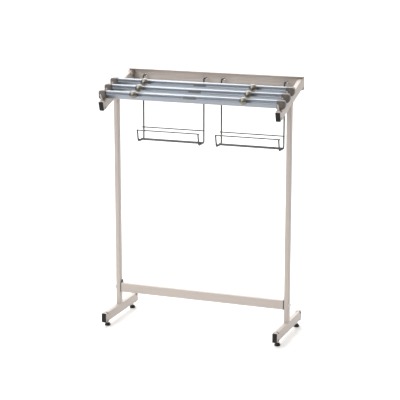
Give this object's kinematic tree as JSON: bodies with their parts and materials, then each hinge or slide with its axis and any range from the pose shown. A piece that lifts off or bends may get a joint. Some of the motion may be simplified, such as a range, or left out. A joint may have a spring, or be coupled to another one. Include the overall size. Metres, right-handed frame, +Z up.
{
  "type": "newspaper rack",
  "caption": "Free-standing steel tube rack with sloping arms that carry clamping newspaper holders, two wire magazine trays behind them and levelling glides under its feet.",
  "frame": {"origin": "on the floor, in the middle of the rack's outer box", "axes": "+Z up, -Y towards the reader at the front, +X to the right as the reader faces the rack"},
  "size_m": [0.6128, 0.2682, 0.8148],
  "materials": {
    "frame_paint": "fine-textured warm grey powder coat",
    "black_plastic": "black moulded polyethylene",
    "zinc_steel": "bright zinc plate",
    "dark_steel": "dark oiled steel",
    "coated_wire": "black plastic-coated steel wire",
    "aluminium": "satin anodised extrusion",
    "holder_plastic": "grey-brown moulded plastic",
    "knob_metal": "antique nickel plate",
    "label_strip": "plain dark strip"
  },
  "bodies": {
    "frame": {"left_foot_tube": "frame_paint", "left_upright_tube": "frame_paint", "left_arm_tube": "frame_paint", "left_foot_front_cap": "black_plastic", "left_foot_rear_cap": "black_plastic", "left_arm_front_cap": "black_plastic", "crossbar_left_plate": "dark_steel", "crossbar_left_bolt": "zinc_steel", "rail_left_bracket": "frame_paint", "rail_left_bolt": "dark_steel", "left_front_prong": "frame_paint", "left_middle_prong": "frame_paint", "left_back_prong": "frame_paint", "right_foot_tube": "frame_paint", "right_upright_tube": "frame_paint", "right_arm_tube": "frame_paint", "right_foot_front_cap": "black_plastic", "right_foot_rear_cap": "black_plastic", "right_arm_front_cap": "black_plastic", "crossbar_right_plate": "dark_steel", "crossbar_right_bolt": "zinc_steel", "rail_right_bracket": "frame_paint", "rail_right_bolt": "dark_steel", "right_front_prong": "frame_paint", "right_middle_prong": "frame_paint", "right_back_prong": "frame_paint", "crossbar": "frame_paint", "rear_rail": "frame_paint"},
    "left_magazine_tray": {"left_magazine_tray": "coated_wire"},
    "right_magazine_tray": {"right_magazine_tray": "coated_wire"},
    "front_holder": {"front_holder_back_bar": "aluminium", "front_holder_left_cap": "holder_plastic", "front_holder_right_cap": "holder_plastic"},
    "front_clamp": {"front_holder_clamp_bar": "aluminium", "front_holder_label": "label_strip"},
    "front_left_knob": {"front_holder_left_knob": "knob_metal"},
    "front_right_knob": {"front_holder_right_knob": "knob_metal"},
    "middle_holder": {"middle_holder_back_bar": "aluminium", "middle_holder_left_cap": "holder_plastic", "middle_holder_right_cap": "holder_plastic"},
    "middle_clamp": {"middle_holder_clamp_bar": "aluminium", "middle_holder_label": "label_strip"},
    "middle_left_knob": {"middle_holder_left_knob": "knob_metal"},
    "middle_right_knob": {"middle_holder_right_knob": "knob_metal"},
    "back_holder": {"back_holder_back_bar": "aluminium", "back_holder_left_cap": "holder_plastic", "back_holder_right_cap": "holder_plastic"},
    "back_clamp": {"back_holder_clamp_bar": "aluminium", "back_holder_label": "label_strip"},
    "back_left_knob": {"back_holder_left_knob": "knob_metal"},
    "back_right_knob": {"back_holder_right_knob": "knob_metal"},
    "left_front_glide": {"left_front_glide_stud": "zinc_steel"},
    "left_front_glide_pad": {"left_front_glide_pad": "black_plastic"},
    "left_rear_glide": {"left_rear_glide_stud": "zinc_steel"},
    "left_rear_glide_pad": {"left_rear_glide_pad": "black_plastic"},
    "right_front_glide": {"right_front_glide_stud": "zinc_steel"},
    "right_front_glide_pad": {"right_front_glide_pad": "black_plastic"},
    "right_rear_glide": {"right_rear_glide_stud": "zinc_steel"},
    "right_rear_glide_pad": {"right_rear_glide_pad": "black_plastic"}
  },
  "joints": [
    {"name": "left_tray_swing", "type": "hinge", "parent": "frame", "child": "left_magazine_tray", "pos_m": [-0.135, 0.12185, 0.79368], "axis": [-1, 0, 0], "range_deg": [0, 20]},
    {"name": "right_tray_swing", "type": "hinge", "parent": "frame", "child": "right_magazine_tray", "pos_m": [0.135, 0.12185, 0.79368], "axis": [-1, 0, 0], "range_deg": [0, 20]},
    {"name": "front_holder_lift", "type": "slide", "parent": "frame", "child": "front_holder", "axis": [0, 0, 1], "range_m": [0, 0.06]},
    {"name": "front_clamp_open", "type": "slide", "parent": "front_holder", "child": "front_clamp", "axis": [0, -1, 0], "range_m": [0, 0.00375]},
    {"name": "front_left_knob_turn", "type": "hinge", "parent": "front_clamp", "child": "front_left_knob", "pos_m": [-0.18, -0.10615, 0.765], "axis": [0, -1, 0], "range_deg": [0, 1081]},
    {"name": "front_right_knob_turn", "type": "hinge", "parent": "front_clamp", "child": "front_right_knob", "pos_m": [0.18, -0.10615, 0.765], "axis": [0, -1, 0], "range_deg": [0, 1081]},
    {"name": "middle_holder_lift", "type": "slide", "parent": "frame", "child": "middle_holder", "axis": [0, 0, 1], "range_m": [0, 0.06]},
    {"name": "middle_clamp_open", "type": "slide", "parent": "middle_holder", "child": "middle_clamp", "axis": [0, -1, 0], "range_m": [0, 0.00375]},
    {"name": "middle_left_knob_turn", "type": "hinge", "parent": "middle_clamp", "child": "middle_left_knob", "pos_m": [-0.18, -0.0612, 0.77874], "axis": [0, -1, 0], "range_deg": [0, 1081]},
    {"name": "middle_right_knob_turn", "type": "hinge", "parent": "middle_clamp", "child": "middle_right_knob", "pos_m": [0.18, -0.0612, 0.77874], "axis": [0, -1, 0], "range_deg": [0, 1081]},
    {"name": "back_holder_lift", "type": "slide", "parent": "frame", "child": "back_holder", "axis": [0, 0, 1], "range_m": [0, 0.06]},
    {"name": "back_clamp_open", "type": "slide", "parent": "back_holder", "child": "back_clamp", "axis": [0, -1, 0], "range_m": [0, 0.00375]},
    {"name": "back_left_knob_turn", "type": "hinge", "parent": "back_clamp", "child": "back_left_knob", "pos_m": [-0.18, -0.01626, 0.79248], "axis": [0, -1, 0], "range_deg": [0, 1081]},
    {"name": "back_right_knob_turn", "type": "hinge", "parent": "back_clamp", "child": "back_right_knob", "pos_m": [0.18, -0.01626, 0.79248], "axis": [0, -1, 0], "range_deg": [0, 1081]},
    {"name": "left_front_glide_height", "type": "slide", "parent": "frame", "child": "left_front_glide", "axis": [0, 0, -1], "range_m": [0, 0.0075]},
    {"name": "left_front_glide_turn", "type": "hinge", "parent": "left_front_glide", "child": "left_front_glide_pad", "pos_m": [-0.2895, -0.09915, 0], "axis": [0, 0, -1], "range_deg": [0, 2161]},
    {"name": "left_rear_glide_height", "type": "slide", "parent": "frame", "child": "left_rear_glide", "axis": [0, 0, -1], "range_m": [0, 0.0075]},
    {"name": "left_rear_glide_turn", "type": "hinge", "parent": "left_rear_glide", "child": "left_rear_glide_pad", "pos_m": [-0.2895, 0.10385, 0], "axis": [0, 0, -1], "range_deg": [0, 2161]},
    {"name": "right_front_glide_height", "type": "slide", "parent": "frame", "child": "right_front_glide", "axis": [0, 0, -1], "range_m": [0, 0.0075]},
    {"name": "right_front_glide_turn", "type": "hinge", "parent": "right_front_glide", "child": "right_front_glide_pad", "pos_m": [0.2895, -0.09915, 0], "axis": [0, 0, -1], "range_deg": [0, 2161]},
    {"name": "right_rear_glide_height", "type": "slide", "parent": "frame", "child": "right_rear_glide", "axis": [0, 0, -1], "range_m": [0, 0.0075]},
    {"name": "right_rear_glide_turn", "type": "hinge", "parent": "right_rear_glide", "child": "right_rear_glide_pad", "pos_m": [0.2895, 0.10385, 0], "axis": [0, 0, -1], "range_deg": [0, 2161]}
  ],
  "couplings": [
    {"joint": "front_left_knob_turn", "follows": "front_clamp_open", "rad_per_m": 5026.5},
    {"joint": "front_right_knob_turn", "follows": "front_clamp_open", "rad_per_m": 5026.5},
    {"joint": "middle_left_knob_turn", "follows": "middle_clamp_open", "rad_per_m": 5026.5},
    {"joint": "middle_right_knob_turn", "follows": "middle_clamp_open", "rad_per_m": 5026.5},
    {"joint": "back_left_knob_turn", "follows": "back_clamp_open", "rad_per_m": 5026.5},
    {"joint": "back_right_knob_turn", "follows": "back_clamp_open", "rad_per_m": 5026.5},
    {"joint": "left_front_glide_turn", "follows": "left_front_glide_height", "rad_per_m": 5026.5},
    {"joint": "left_rear_glide_turn", "follows": "left_rear_glide_height", "rad_per_m": 5026.5},
    {"joint": "right_front_glide_turn", "follows": "right_front_glide_height", "rad_per_m": 5026.5},
    {"joint": "right_rear_glide_turn", "follows": "right_rear_glide_height", "rad_per_m": 5026.5}
  ]
}
